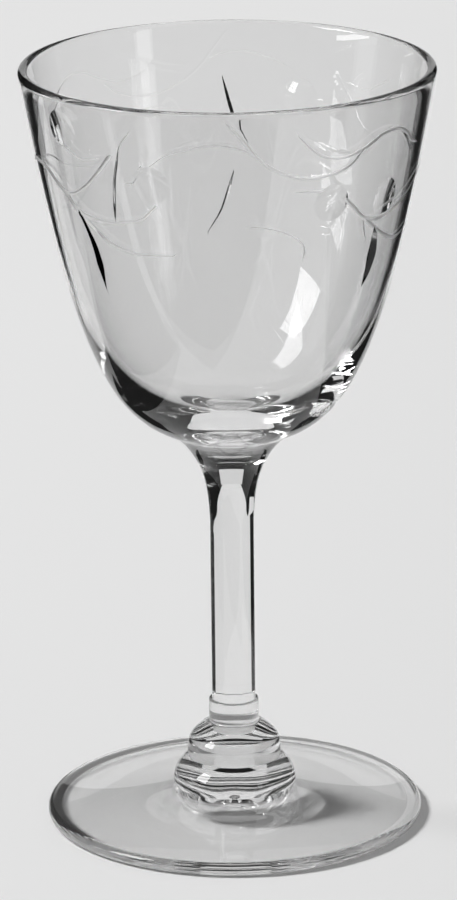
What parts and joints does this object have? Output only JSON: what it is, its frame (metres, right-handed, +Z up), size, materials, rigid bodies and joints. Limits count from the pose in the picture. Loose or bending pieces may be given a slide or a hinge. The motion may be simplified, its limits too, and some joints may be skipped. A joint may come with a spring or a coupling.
{
  "type": "liqueur glass",
  "caption": "Stemmed liqueur glass of clear glass: round-bottomed bowl on a panelled, flared stem, with a bell knop, a cushion collar and a wide hollow foot to stand on.",
  "frame": {"origin": "middle of the resting ring under the foot", "axes": "+Z up along the axis of the glass, through the mouth; one panel of the stem faces -Y, towards the viewer of the picture, and +X is to that viewer's right"},
  "size_m": [0.0538, 0.0538, 0.102],
  "materials": {
    "clear_glass": "colourless, fire-polished, with polished wheel cutting on the bowl"
  },
  "bodies": {
    "root": {"foot": "clear_glass", "collar": "clear_glass", "knop": "clear_glass", "stem": "clear_glass", "bowl": "clear_glass"}
  },
  "joints": []
}
